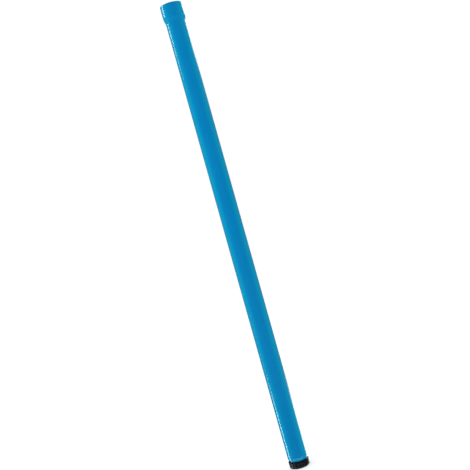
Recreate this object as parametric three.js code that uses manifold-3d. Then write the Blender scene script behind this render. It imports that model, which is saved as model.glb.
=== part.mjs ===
// Telescopic boat hook pole, collapsed: an outer tube with a flared mouth and a necked butt, two inner tubes
// that slide out of the mouth and lock by a twist, and a ribbed screw cap that closes the butt.
// The hook head is off, so the innermost tube ends in the threaded socket that takes it.
// Millimetres, +Z up. The pole stands on its cap, and the origin is the middle of the cap's underside.
import * as THREE from "three";
import { mergeVertices } from "three/addons/utils/BufferGeometryUtils.js";
import Module from "manifold-3d";

const wasm = await Module();
wasm.setup();

// ---- Driving dimensions ----
const COLLAPSED_LENGTH = 900; // underside of the cap to the rim of the mouth
const OUTER_DIAMETER = 38; // outside of the outer tube
const WALL = 1.5; // wall of all three tubes
const TELESCOPE_GAP = 1.5; // radial air between one tube and the next inside it

const FLARE_STEP = 2.4; // how far the swaged mouth stands out from the tube
const FLARE_DEPTH = 23; // straight part of the mouth
const SHOULDER_LENGTH = 13; // from the straight part down to the plain tube
const RIM_ROUNDING = 0.5; // on the edges of the tubes and moulded pieces

const NECK_STEP = 2; // how far the spun-in butt end draws in from the tube
const NECK_LENGTH = 6.6; // height of the rounding between the two
const NECK_LIP = 0.8; // straight end of the neck

const CAP_OVERHANG = 2.7; // how far the cap's ribs stand out from the neck
const CAP_HEIGHT = 12.4; // ribbed part, below the seal
const CAP_DRAFT = 0.4; // taper of the ribbed part towards its underside
const CAP_CHAMFER = 1.8; // round its underside
const CAP_RIBS = 20;
const RIB_GROOVE_RADIUS = 2.6; // scallop between two ribs
const RIB_GROOVE_DEPTH = 0.85;
const CAP_FOOT = 6.5; // width of the flat ring that the pole stands on
const CAP_DISH_DEPTH = 0.8; // shallow dish inside that ring
const CAP_PLUG_LENGTH = 27; // threaded plug that closes the tube
const CAP_PLUG_WALL = 3;
const SEAL_THICKNESS = 0.9;
const INSERT_LENGTH = 14; // threaded sleeve held above the neck
const BUFFER_THICKNESS = 4; // rubber pad that the inner tubes come down on

const BUSH_LENGTH = 20; // guide bush inside the flare
const CLIP_THICKNESS = 1.2; // spring ring that holds the bush down
const CLIP_BITE = 0.6; // how far the ring reaches into its groove
const CLIP_OPENING = 34; // degrees left open in the ring
const COLLAR_HEIGHT = 10.5; // guide collar on the middle tube
const COLLAR_FLANGE = 2.2; // how far the collar stands out from its tube
const COLLAR_WEB = 4.5; // part of the collar above the tube's end
const COLLAR_SETBACK = 3; // collar top below the rim

const TIP_SETBACK = 1; // socket face below the rim
const TIP_FLANGE = 3;
const TIP_PLUG_LENGTH = 30;
const TIP_WALL = 3.35; // round the socket that the hook head's shank screws into
const TIP_SOCKET_DEPTH = 24;
const TIP_SOCKET_CHAMFER = 1.2;
const FLOAT_PLUG_LENGTH = 60; // foam plug below the socket

const LOCK_PLUG_LENGTH = 20; // part of the lock plug pressed up into its tube
const LOCK_FLANGE = 3;
const LOCK_SPINDLE_DIAMETER = 8;
const LOCK_WEB = 3; // top of the expander
const LOCK_FINGERS = 18; // length of the expander's split skirt
const LOCK_WALL = 2.4; // expander skirt at its free end
const LOCK_SLOTS = 3; // each cuts the skirt across, so there are six fingers
const LOCK_SLOT_WIDTH = 1.6;
const LOCK_CONE_HEIGHT = 12;
const LOCK_CONE_PROUD = 5; // part of the cone below the skirt
const LOCK_TAPER = Math.tan((12 * Math.PI) / 180); // slope of the cone and of the skirt inside
const LOCK_WASHER_DIAMETER = 13;
const LOCK_WASHER_THICKNESS = 1.5;
const LOCK_SCREW_HEAD_DIAMETER = 7;
const LOCK_SCREW_HEAD_HEIGHT = 2.6;
const LOCK_SCREW_DIAMETER = 3.2;
const LOCK_SCREW_LENGTH = 12;

// ---- Clearances ----
const SEAT_GAP = 0.15; // between pieces that are fixed to each other, radially
const SLIDE_GAP = 0.2; // between a tube and the guide that it slides in, radially
const THREAD_GAP = 0.3; // between the plain cylinders that stand for two threads, radially
const FACE_GAP = 0.3; // between two faces that rest on each other
const CLIP_GAP = 0.15; // above and below the spring ring in its groove
const SEAL_GAP = 0.15; // either side of the cap's seal
const NECK_GAP = 0.5; // between the cap's plug and the neck, radially
const LOCK_GAP = 0.25; // between the expander and the bore that it grips, radially
const CONE_GAP = 0.5; // between the cone and the skirt, radially
const KEY_GAP = 0.3; // between a key of the cone and the side of its slot

// ---- Fineness ----
const FINE = 40; // facets of the tubes and of what shows
const COARSE = 32; // facets of the lock pieces
const GROOVE_FACETS = 12; // facets of the cutter that leaves the cap's ribs
const ROUNDING_STEPS = 5; // steps in a shoulder

// ---- Radii and levels worked out from the above ----
const outerRadius = OUTER_DIAMETER / 2;
const outerBore = outerRadius - WALL;
const middleRadius = outerBore - TELESCOPE_GAP;
const middleBore = middleRadius - WALL;
const innerRadius = middleBore - TELESCOPE_GAP;
const innerBore = innerRadius - WALL;
const flareRadius = outerRadius + FLARE_STEP;
const mouthBore = flareRadius - WALL;
const neckRadius = outerRadius - NECK_STEP;
const capRadius = neckRadius + CAP_OVERHANG;
const plugRadius = neckRadius - WALL - NECK_GAP;
const tipStem = innerBore - SEAT_GAP;
const socketRadius = tipStem - TIP_WALL;

const rimZ = COLLAPSED_LENGTH;
const shoulderTopZ = rimZ - FLARE_DEPTH;
const shoulderBottomZ = shoulderTopZ - SHOULDER_LENGTH;
const buttZ = CAP_HEIGHT + SEAL_THICKNESS + 2 * SEAL_GAP; // lower end of the outer tube
const neckTopZ = buttZ + NECK_LIP + NECK_LENGTH;
const insertZ = neckTopZ + FACE_GAP;
const plugTopZ = CAP_HEIGHT + CAP_PLUG_LENGTH;
const bufferTopZ = plugTopZ + FACE_GAP + BUFFER_THICKNESS;

const bushZ = shoulderBottomZ;
const bushTopZ = bushZ + BUSH_LENGTH;
const clipZ = bushTopZ + FACE_GAP;
const collarTopZ = rimZ - COLLAR_SETBACK;
const collarZ = collarTopZ - COLLAR_HEIGHT;
const middleTopZ = collarTopZ - COLLAR_WEB - FACE_GAP;
const tipZ = rimZ - TIP_SETBACK;
const innerTopZ = tipZ - TIP_FLANGE - FACE_GAP;

// Depth of one twist lock, from the end of its tube down to the underside of its screw.
const expanderHeight = LOCK_WEB + LOCK_FINGERS;
const spindleLength = FACE_GAP + expanderHeight + LOCK_CONE_PROUD + FACE_GAP;
const lockDepth = LOCK_FLANGE + spindleLength + LOCK_WASHER_THICKNESS + LOCK_SCREW_HEAD_HEIGHT + 3 * FACE_GAP;
const middleEndZ = bufferTopZ + FACE_GAP + lockDepth;
const innerEndZ = middleEndZ + LOCK_PLUG_LENGTH + FACE_GAP + lockDepth;

// ---- Finishes ----
const finish = (color, roughness, metalness = 0) => new THREE.MeshStandardMaterial({ color, roughness, metalness });
const BLUE_COAT = finish(0x057ab2, 0.28);
const BLACK_NYLON = finish(0x101214, 0.5);
const GREY_ACETAL = finish(0x2b2f33, 0.45);
const SILVER_TUBE = finish(0xb9bec3, 0.35, 0.9);
const WHITE_ACETAL = finish(0xe6e4dc, 0.5);
const BLACK_RUBBER = finish(0x0c0c0d, 0.85);
const STEEL = finish(0xa8acb0, 0.3, 1);
const WHITE_FOAM = finish(0xd9d4c5, 0.95);

const pole = new THREE.Group();

// ---- Helpers ----

// Adds a sub-part to the pole. Its geometry is already in place.
function add(name, geometry, material) {
  const mesh = new THREE.Mesh(geometry, material);
  mesh.name = name;
  pole.add(mesh);
}

// A body of revolution about Z. The profile is a list of [radius, height] that goes up the outside and comes
// down the inside, and either starts and ends on the axis or is closed here.
function turned(profile, facets) {
  const points = profile.map(([r, z]) => new THREE.Vector2(r, z));
  const onAxis = profile[0][0] === 0 && profile[profile.length - 1][0] === 0;
  if (!onAxis) points.push(points[0].clone());
  return new THREE.LatheGeometry(points, facets).rotateX(Math.PI / 2);
}

// A ring or sleeve between two radii and two heights, with its four edges bevelled.
function sleeve(inside, outside, low, high, facets, bevel = 0) {
  if (bevel === 0) return turned([[outside, low], [outside, high], [inside, high], [inside, low]], facets);
  return turned([
    [outside - bevel, low],
    [outside, low + bevel],
    [outside, high - bevel],
    [outside - bevel, high],
    [inside + bevel, high],
    [inside, high - bevel],
    [inside, low + bevel],
    [inside + bevel, low],
  ], facets);
}

// The geometry as a manifold-3d solid.
function solidOf(geometry) {
  const bare = geometry.clone();
  bare.deleteAttribute("normal");
  bare.deleteAttribute("uv");
  const merged = mergeVertices(bare, 1e-4);
  return new wasm.Manifold(new wasm.Mesh({
    numProp: 3,
    vertProperties: new Float32Array(merged.attributes.position.array),
    triVerts: new Uint32Array(merged.index.array),
  }));
}

// The geometry of a manifold-3d solid.
function geometryOf(solid) {
  const mesh = solid.getMesh();
  return new THREE.BufferGeometry()
    .setAttribute("position", new THREE.BufferAttribute(new Float32Array(mesh.vertProperties), 3))
    .setIndex(new THREE.BufferAttribute(new Uint32Array(mesh.triVerts), 1));
}

// A geometry with others joined to it, and then others cut out of it.
function shaped(geometry, joined, removed) {
  const whole = joined.reduce((solid, piece) => solid.add(solidOf(piece)), solidOf(geometry));
  return geometryOf(removed.reduce((solid, piece) => solid.subtract(solidOf(piece)), whole));
}

// Evenly spaced heights from z0 up to z1.
function steps(z0, z1) {
  return Array.from({ length: ROUNDING_STEPS + 1 }, (_, i) => z0 + ((z1 - z0) * i) / ROUNDING_STEPS);
}

// ---- Outer tube ----

// Radius of the butt's rounding at a height: a quarter ellipse from the neck out to the plain tube.
function buttRadius(z) {
  const down = (neckTopZ - z) / NECK_LENGTH;
  return neckRadius + NECK_STEP * Math.sqrt(Math.max(1 - down * down, 0));
}

// Radius of the mouth's shoulder at a height: half a cosine wave from the plain tube out to the flare.
function shoulderRadius(z) {
  const up = (z - shoulderBottomZ) / SHOULDER_LENGTH;
  return outerRadius + (FLARE_STEP * (1 - Math.cos(Math.PI * up))) / 2;
}

// One length of tube with a necked butt and a flared mouth, and a groove for the spring ring inside the mouth.
function outerTube() {
  const curve = [
    ...steps(buttZ + NECK_LIP, neckTopZ).map((z) => [buttRadius(z), z]),
    ...steps(shoulderBottomZ, shoulderTopZ).map((z) => [shoulderRadius(z), z]),
  ];
  const grooveBottom = mouthBore + CLIP_BITE + SEAT_GAP;
  const grooveTopZ = clipZ + CLIP_THICKNESS + CLIP_GAP;
  const grooveZ = clipZ - CLIP_GAP;
  return turned([
    [neckRadius - RIM_ROUNDING, buttZ],
    [neckRadius, buttZ + RIM_ROUNDING],
    ...curve,
    [flareRadius, rimZ - RIM_ROUNDING],
    [flareRadius - RIM_ROUNDING, rimZ],
    [mouthBore + RIM_ROUNDING, rimZ],
    [mouthBore, rimZ - RIM_ROUNDING],
    [mouthBore, grooveTopZ],
    [grooveBottom, grooveTopZ],
    [grooveBottom, grooveZ],
    [mouthBore, grooveZ],
    ...curve.map(([r, z]) => [r - WALL, z]).reverse(),
    [neckRadius - WALL, buttZ],
  ], FINE);
}
add("outer_tube", outerTube(), BLUE_COAT);

// ---- Mouth of the outer tube ----

// Guide bush that fills the flare round the middle tube and stops its expander.
function mouthBush() {
  const shoulder = steps(bushZ, shoulderTopZ).map((z) => [shoulderRadius(z) - WALL - SEAT_GAP, z]);
  const bore = middleRadius + SLIDE_GAP;
  return turned([
    ...shoulder,
    [mouthBore - SEAT_GAP, bushTopZ],
    [bore + RIM_ROUNDING, bushTopZ],
    [bore, bushTopZ - RIM_ROUNDING],
    [bore, bushZ],
  ], FINE);
}
add("mouth_bush", mouthBush(), GREY_ACETAL);

// Open spring ring in the groove above the bush.
function springRing() {
  const outside = mouthBore + CLIP_BITE;
  const inside = middleRadius + COLLAR_FLANGE + FACE_GAP;
  const half = THREE.MathUtils.degToRad(CLIP_OPENING / 2);
  const shape = new THREE.Shape();
  shape.absarc(0, 0, outside, half, 2 * Math.PI - half, false);
  shape.absarc(0, 0, inside, 2 * Math.PI - half, half, true);
  return new THREE.ExtrudeGeometry(shape, { depth: CLIP_THICKNESS, bevelEnabled: false, curveSegments: COARSE })
    .translate(0, 0, clipZ);
}
add("mouth_clip", springRing(), STEEL);

// ---- Butt: threaded sleeve, seal, ribbed cap and buffer ----

add(
  "butt_insert",
  sleeve(plugRadius + THREAD_GAP, outerBore - SEAT_GAP, insertZ, insertZ + INSERT_LENGTH, FINE, RIM_ROUNDING),
  GREY_ACETAL,
);
add(
  "butt_seal",
  sleeve(plugRadius + SEAT_GAP, neckRadius, CAP_HEIGHT + SEAL_GAP, CAP_HEIGHT + SEAL_GAP + SEAL_THICKNESS, FINE),
  BLACK_RUBBER,
);

// Ribbed cap with a hollow threaded plug. Its underside is flat round a shallow dish.
function buttCap() {
  const foot = capRadius - CAP_DRAFT - CAP_CHAMFER;
  const dish = foot - CAP_FOOT;
  const cup = plugRadius - CAP_PLUG_WALL;
  const blank = turned([
    [0, CAP_DISH_DEPTH],
    [dish, CAP_DISH_DEPTH],
    [dish, 0],
    [foot, 0],
    [foot + CAP_CHAMFER * 0.7, CAP_CHAMFER * 0.3],
    [foot + CAP_CHAMFER, CAP_CHAMFER],
    [capRadius, CAP_HEIGHT - RIM_ROUNDING],
    [capRadius - RIM_ROUNDING, CAP_HEIGHT],
    [plugRadius, CAP_HEIGHT],
    [plugRadius, plugTopZ - RIM_ROUNDING],
    [plugRadius - RIM_ROUNDING, plugTopZ],
    [cup, plugTopZ],
    [cup, CAP_HEIGHT],
    [0, CAP_HEIGHT],
  ], FINE);
  const centre = capRadius + RIB_GROOVE_RADIUS - RIB_GROOVE_DEPTH;
  const grooves = Array.from({ length: CAP_RIBS }, (_, i) =>
    new THREE.CylinderGeometry(RIB_GROOVE_RADIUS, RIB_GROOVE_RADIUS, 2 * CAP_HEIGHT, GROOVE_FACETS)
      .rotateX(Math.PI / 2)
      .translate(centre, 0, CAP_HEIGHT)
      .rotateZ((i * 2 * Math.PI) / CAP_RIBS));
  return shaped(blank, [], grooves);
}
add("butt_cap", buttCap(), BLACK_NYLON);

// Rubber pad pressed into the mouth of the cap's plug.
function buttBuffer() {
  const stem = plugRadius - CAP_PLUG_WALL - SEAT_GAP;
  const low = plugTopZ + FACE_GAP;
  return turned([
    [0, low - BUFFER_THICKNESS],
    [stem, low - BUFFER_THICKNESS],
    [stem, low],
    [plugRadius - RIM_ROUNDING, low],
    [plugRadius - RIM_ROUNDING, bufferTopZ - RIM_ROUNDING],
    [plugRadius - 2 * RIM_ROUNDING, bufferTopZ],
    [0, bufferTopZ],
  ], COARSE);
}
add("butt_buffer", buttBuffer(), BLACK_RUBBER);

// ---- Middle and inner tubes ----

add("middle_tube", sleeve(middleBore, middleRadius, middleEndZ, middleTopZ, FINE, RIM_ROUNDING), SILVER_TUBE);
add("inner_tube", sleeve(innerBore, innerRadius, innerEndZ, innerTopZ, FINE, RIM_ROUNDING), SILVER_TUBE);

// Collar on the mouth of the middle tube: it guides the inner tube and stops its expander.
function middleCollar() {
  const outside = middleRadius + COLLAR_FLANGE;
  const seat = middleRadius + SEAT_GAP;
  const guide = innerRadius + SLIDE_GAP;
  return turned([
    [outside - RIM_ROUNDING, collarZ],
    [outside, collarZ + RIM_ROUNDING],
    [outside, collarTopZ - 2 * RIM_ROUNDING],
    [outside - 2 * RIM_ROUNDING, collarTopZ],
    [guide + RIM_ROUNDING, collarTopZ],
    [guide, collarTopZ - RIM_ROUNDING],
    [guide, collarTopZ - COLLAR_WEB],
    [seat, collarTopZ - COLLAR_WEB],
    [seat, collarZ],
  ], FINE);
}
add("middle_collar", middleCollar(), GREY_ACETAL);

// Socket in the end of the inner tube. The hook head's shank screws into it, and its shoulder seats on the face.
function tipInsert() {
  const bottom = innerTopZ - TIP_PLUG_LENGTH;
  return turned([
    [0, bottom],
    [tipStem - RIM_ROUNDING, bottom],
    [tipStem, bottom + RIM_ROUNDING],
    [tipStem, tipZ - TIP_FLANGE],
    [innerRadius, tipZ - TIP_FLANGE],
    [innerRadius, tipZ - RIM_ROUNDING],
    [innerRadius - RIM_ROUNDING, tipZ],
    [socketRadius + TIP_SOCKET_CHAMFER, tipZ],
    [socketRadius, tipZ - TIP_SOCKET_CHAMFER],
    [socketRadius, tipZ - TIP_SOCKET_DEPTH],
    [0, tipZ - TIP_SOCKET_DEPTH],
  ], FINE);
}
add("tip_insert", tipInsert(), BLACK_NYLON);

// Closed-cell foam plug that keeps water out of the inner tube.
function floatPlug() {
  const top = innerTopZ - TIP_PLUG_LENGTH - FACE_GAP;
  return turned([
    [0, top - FLOAT_PLUG_LENGTH],
    [tipStem, top - FLOAT_PLUG_LENGTH],
    [tipStem, top],
    [0, top],
  ], COARSE);
}
add("float_plug", floatPlug(), WHITE_FOAM);

// ---- Twist locks ----

// One lock below the end of a tube: a plug with a threaded spindle, a cone nut that the spindle draws up into a
// split expander, and a washer and screw that keep the cone on.
//   name    first word of the nodes' names
//   endZ    lower end of the tube that carries the lock
//   radius  outside of that tube
//   inside  inside of that tube
//   grip    bore that the expander grips
function twistLock(name, endZ, radius, inside, grip) {
  const spindle = LOCK_SPINDLE_DIAMETER / 2;
  const screw = LOCK_SCREW_DIAMETER / 2;
  const flangeZ = endZ - FACE_GAP - LOCK_FLANGE;
  const spindleZ = flangeZ - spindleLength;

  // Plug: stem in the tube, flange under its end, spindle below, tapped hole in the spindle's end.
  add(`${name}_plug`, turned([
    [screw + SEAT_GAP, spindleZ],
    [spindle, spindleZ],
    [spindle, flangeZ],
    [radius - RIM_ROUNDING, flangeZ],
    [radius, flangeZ + RIM_ROUNDING],
    [radius, flangeZ + LOCK_FLANGE],
    [inside - SEAT_GAP, flangeZ + LOCK_FLANGE],
    [inside - SEAT_GAP, endZ + LOCK_PLUG_LENGTH - RIM_ROUNDING],
    [inside - SEAT_GAP - RIM_ROUNDING, endZ + LOCK_PLUG_LENGTH],
    [0, endZ + LOCK_PLUG_LENGTH],
    [0, spindleZ + LOCK_SCREW_LENGTH],
    [screw + SEAT_GAP, spindleZ + LOCK_SCREW_LENGTH],
  ], COARSE), WHITE_ACETAL);

  // Expander: a web under the flange and a tapered skirt, split into fingers.
  const outside = grip - LOCK_GAP;
  const webTop = flangeZ - FACE_GAP;
  const webZ = webTop - LOCK_WEB;
  const skirtZ = webZ - LOCK_FINGERS;
  const mouth = outside - LOCK_WALL;
  const throat = mouth - LOCK_FINGERS * LOCK_TAPER;
  const slots = Array.from({ length: LOCK_SLOTS }, (_, i) =>
    new THREE.BoxGeometry(3 * grip, LOCK_SLOT_WIDTH, LOCK_FINGERS)
      .rotateZ((i * Math.PI) / LOCK_SLOTS)
      .translate(0, 0, skirtZ + LOCK_FINGERS / 2 - RIM_ROUNDING));
  add(`${name}_expander`, shaped(turned([
    [mouth, skirtZ],
    [outside - RIM_ROUNDING, skirtZ],
    [outside, skirtZ + RIM_ROUNDING],
    [outside, webTop - RIM_ROUNDING],
    [outside - RIM_ROUNDING, webTop],
    [spindle + THREAD_GAP, webTop],
    [spindle + THREAD_GAP, webZ],
    [throat, webZ],
  ], COARSE), [], slots), BLACK_NYLON);

  // Cone nut: it follows the skirt's taper, one gap inside it, and its keys run in the skirt's slots.
  const coneZ = skirtZ - LOCK_CONE_PROUD;
  const coneBase = mouth - CONE_GAP;
  const coneTop = coneZ + LOCK_CONE_HEIGHT;
  const keyWidth = LOCK_SLOT_WIDTH - 2 * KEY_GAP;
  const keyReach = outside - LOCK_WALL / 2;
  const keyHeight = coneTop - skirtZ;
  const keys = Array.from({ length: LOCK_SLOTS }, (_, i) =>
    new THREE.BoxGeometry(2 * keyReach, keyWidth, keyHeight)
      .translate(0, 0, skirtZ + keyHeight / 2)
      .rotateZ((i * Math.PI) / LOCK_SLOTS));
  const bore = new THREE.CylinderGeometry(spindle + THREAD_GAP, spindle + THREAD_GAP, 3 * LOCK_CONE_HEIGHT, COARSE)
    .rotateX(Math.PI / 2)
    .translate(0, 0, coneZ);
  add(`${name}_cone`, shaped(turned([
    [0, coneZ],
    [coneBase, coneZ],
    [coneBase, skirtZ],
    [coneBase - keyHeight * LOCK_TAPER, coneTop],
    [0, coneTop],
  ], COARSE), keys, [bore]), WHITE_ACETAL);

  // Washer and pan-head screw under the spindle.
  const washerTop = spindleZ - FACE_GAP;
  const washerZ = washerTop - LOCK_WASHER_THICKNESS;
  add(
    `${name}_washer`,
    sleeve(screw + SEAT_GAP, LOCK_WASHER_DIAMETER / 2, washerZ, washerTop, COARSE),
    STEEL,
  );
  const headTop = washerZ - FACE_GAP;
  const headZ = headTop - LOCK_SCREW_HEAD_HEIGHT;
  const head = LOCK_SCREW_HEAD_DIAMETER / 2;
  add(`${name}_screw`, turned([
    [0, headZ],
    [head * 0.7, headZ],
    [head, headZ + LOCK_SCREW_HEAD_HEIGHT / 2],
    [head, headTop],
    [screw, headTop],
    [screw, headTop + LOCK_SCREW_LENGTH],
    [0, headTop + LOCK_SCREW_LENGTH],
  ], COARSE), STEEL);
}
twistLock("middle_lock", middleEndZ, middleRadius, middleBore, outerBore);
twistLock("inner_lock", innerEndZ, innerRadius, innerBore, middleBore);

export default pole;
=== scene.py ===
"""Looks of a telescopic boat hook pole that stands collapsed on its screw cap, with the hook head off.

Every shape is worked out in metres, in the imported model's frame: +Z runs up the pole, and the origin is the middle of
the cap's underside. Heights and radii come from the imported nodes, and each new piece takes the place of one node.
"""
import logging
import math
from collections.abc import Callable, Sequence
from dataclasses import dataclass
from enum import Enum

import bmesh
import bpy
import numpy as np
from mathutils import Matrix, Vector


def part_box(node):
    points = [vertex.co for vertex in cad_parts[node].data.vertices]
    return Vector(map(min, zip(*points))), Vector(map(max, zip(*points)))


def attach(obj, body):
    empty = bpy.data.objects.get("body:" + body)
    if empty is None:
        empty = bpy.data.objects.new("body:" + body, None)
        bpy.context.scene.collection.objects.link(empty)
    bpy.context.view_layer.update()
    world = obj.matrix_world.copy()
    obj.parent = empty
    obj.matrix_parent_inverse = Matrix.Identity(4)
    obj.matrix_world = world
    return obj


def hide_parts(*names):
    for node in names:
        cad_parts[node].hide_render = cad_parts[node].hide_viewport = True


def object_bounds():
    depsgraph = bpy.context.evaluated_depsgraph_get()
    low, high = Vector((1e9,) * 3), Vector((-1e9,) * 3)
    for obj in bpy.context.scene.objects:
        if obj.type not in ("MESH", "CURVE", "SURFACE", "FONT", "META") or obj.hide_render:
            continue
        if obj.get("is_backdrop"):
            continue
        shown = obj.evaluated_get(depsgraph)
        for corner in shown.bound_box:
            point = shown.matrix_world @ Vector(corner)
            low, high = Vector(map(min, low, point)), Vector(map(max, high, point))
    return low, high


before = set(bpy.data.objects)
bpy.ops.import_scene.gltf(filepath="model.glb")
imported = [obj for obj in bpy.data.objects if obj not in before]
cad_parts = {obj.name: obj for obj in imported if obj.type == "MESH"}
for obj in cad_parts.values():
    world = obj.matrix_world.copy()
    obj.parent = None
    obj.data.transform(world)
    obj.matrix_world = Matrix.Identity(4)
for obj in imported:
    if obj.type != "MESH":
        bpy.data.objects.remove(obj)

LOG = logging.getLogger("boat_hook_pole")
MM = 0.001
TAU = 2 * math.pi
TINY = 1e-12
SAME_POINT = 1e-8
SAME_LEVEL = 1e-7
MERGE_DISTANCE = 2e-7
SHARP_DEGREES = 35
NOISE_RANGE = (0.3, 0.7)

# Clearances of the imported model: fixed fits, sliding fits and faces that meet.
FIT = 0.15 * MM
SLIDE = 0.2 * MM
GAP = 0.3 * MM

# A relief takes the radii, heights and angles of a turned surface and gives its new radii and heights.
Relief = Callable[[np.ndarray, np.ndarray, np.ndarray], tuple[np.ndarray, np.ndarray]]


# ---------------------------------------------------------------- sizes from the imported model


@dataclass(frozen=True)
class Span:
    """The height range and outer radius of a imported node."""

    low: float
    high: float
    radius: float

    @classmethod
    def of(cls, node: str) -> "Span":
        """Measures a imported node.

        Args:
            node: the node's name.

        Returns:
            Its lowest and highest level and its largest reach from the axis.
        """
        low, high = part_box(node)
        return cls(low[2], high[2], max(high[0], high[1]))


# ---------------------------------------------------------------- outlines


def rounded(corners: Sequence[Sequence[float]], closed: bool = True, steps: int = 5) -> np.ndarray:
    """Rounds an outline's corners.

    A corner P that is set back by d is replaced by the quadratic curve (1-s)^2 A + 2s(1-s) P + s^2 B, where A and B lie
    d before and after P on its two edges. The set-back is held to under half of the shorter edge.

    Args:
        corners: radius, height and set-back of each corner, in order.
        closed: whether the last corner joins the first; an open outline keeps its two ends.
        steps: chords in each rounding.

    Returns:
        Points of the outline, one row of radius and height each.
    """
    given = np.asarray(corners, dtype=float)
    point, setback = given[:, :2], given[:, 2].copy()
    back = np.roll(point, 1, axis=0) - point
    ahead = np.roll(point, -1, axis=0) - point
    back_length = np.linalg.norm(back, axis=1)
    ahead_length = np.linalg.norm(ahead, axis=1)
    if not closed:
        setback[[0, -1]] = 0
    under_half = 0.49
    setback = np.minimum(setback, under_half * np.minimum(back_length, ahead_length))
    start = point + back * (setback / np.maximum(back_length, TINY))[:, None]
    end = point + ahead * (setback / np.maximum(ahead_length, TINY))[:, None]
    s = np.linspace(0, 1, steps + 1)[None, :, None]
    curve = (1 - s) ** 2 * start[:, None] + 2 * s * (1 - s) * point[:, None] + s**2 * end[:, None]
    flat = curve.reshape(-1, 2)
    moved = np.linalg.norm(np.diff(flat, axis=0), axis=1) > SAME_POINT
    return flat[np.concatenate([[True], moved])]


def refined(outline: np.ndarray, step: float, low: float, high: float, closed: bool = True) -> np.ndarray:
    """Splits the edges of an outline whose middle lies between two heights, so that none is longer than a step.

    Args:
        outline: rows of radius and height.
        step: longest edge left in the range.
        low: bottom of the range.
        high: top of the range.
        closed: whether the last point joins the first.

    Returns:
        The outline with points added evenly along the edges in the range.
    """
    ahead = np.roll(outline, -1, axis=0)
    if not closed:
        outline, ahead, last = outline[:-1], ahead[:-1], outline[-1:]
    middle = (outline[:, 1] + ahead[:, 1]) / 2
    length = np.linalg.norm(ahead - outline, axis=1)
    inside = (middle > low) & (middle < high)
    count = np.where(inside, np.ceil(length / step), 1).astype(int).clip(1)
    edge = np.repeat(np.arange(len(outline)), count)
    place = np.arange(count.sum()) - np.repeat(np.cumsum(count) - count, count)
    share = (place / count[edge])[:, None]
    points = outline[edge] + share * (ahead[edge] - outline[edge])
    return points if closed else np.vstack([points, last])


def quarter_ellipse(radius: float, height: float, reach: float, rise: float, steps: int) -> np.ndarray:
    """Curve that leaves a neck and runs up into a plain tube.

    The radius is the neck's plus reach times cos(t), and the height falls from the top by rise times sin(t), as t goes
    from a right angle down to nothing.

    Args:
        radius: radius of the neck.
        height: level at which the curve meets the plain tube.
        reach: how far the plain tube stands out from the neck.
        rise: height of the curve.
        steps: chords in the curve.

    Returns:
        Rows of radius and height, from the neck up.
    """
    t = np.linspace(math.pi / 2, 0, steps + 1)
    return np.column_stack([radius + reach * np.cos(t), height - rise * np.sin(t)])


def swaged_shoulder(radius: float, height: float, reach: float, rise: float, steps: int) -> np.ndarray:
    """Curve of a swaged shoulder: the radius grows by reach times (1 - cos(pi s)) / 2 as s goes from 0 to 1 up it.

    Args:
        radius: radius of the plain tube.
        height: level at which the shoulder starts.
        reach: how far the mouth stands out from the tube.
        rise: height of the shoulder.
        steps: chords in the curve.

    Returns:
        Rows of radius and height, from the plain tube up.
    """
    s = np.linspace(0, 1, steps + 1)
    return np.column_stack([radius + reach * (1 - np.cos(math.pi * s)) / 2, height + rise * s])


def ring(inside: float, outside: float, low: float, high: float, inner: float, outer: float) -> np.ndarray:
    """Outline of a plain ring or tube, with its corners rounded.

    Args:
        inside: radius of the bore.
        outside: outer radius.
        low: level of the lower face.
        high: level of the upper face.
        inner: set-back of the two corners at the bore.
        outer: set-back of the two corners at the outside.

    Returns:
        Rows of radius and height.
    """
    return rounded([[outside, low, outer], [outside, high, outer], [inside, high, inner], [inside, low, inner]])


def wall_at(radius: float, slack: float = 0.1 * MM) -> tuple[float, float]:
    """Gives the range of radii that counts as a wall."""
    return radius - slack, radius + slack


def corners_of(curve: np.ndarray) -> np.ndarray:
    """Gives each point of a curve a set-back of nothing, so that it can stand among rounded corners."""
    return np.column_stack([curve, np.zeros(len(curve))])


# ---------------------------------------------------------------- reliefs


def smoothstep(value: np.ndarray) -> np.ndarray:
    """Runs from 0 to 1 as the value does, with no kink at either end."""
    v = np.clip(value, 0, 1)
    return v * v * (3 - 2 * v)


@dataclass(frozen=True)
class Thread:
    """A right-handed thread cut into a turned surface.

    The groove's share at a point is a rounded triangle wave of height / pitch - angle / turn, and it fades in and out
    over one pitch at the two ends. A male thread is cut inwards and a female one outwards.
    """

    pitch: float
    depth: float
    low: float
    high: float
    reach: tuple[float, float]
    male: bool = True
    crest: float = 0.18
    flank: float = 0.64

    def __call__(self, r: np.ndarray, z: np.ndarray, a: np.ndarray) -> tuple[np.ndarray, np.ndarray]:
        """Cuts the thread where the radius lies within reach and the height between low and high.

        Args:
            r: radii of the surface's points.
            z: their heights.
            a: their angles.

        Returns:
            The new radii and heights.
        """
        wave = np.abs(2 * np.mod(z / self.pitch - a / TAU, 1) - 1)
        groove = smoothstep((wave - self.crest) / self.flank)
        fade = smoothstep((z - self.low) / self.pitch) * smoothstep((self.high - z) / self.pitch)
        on_wall = (r >= self.reach[0]) & (r <= self.reach[1])
        cut = self.depth * groove * fade * on_wall
        return (r - cut if self.male else r + cut), z


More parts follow.
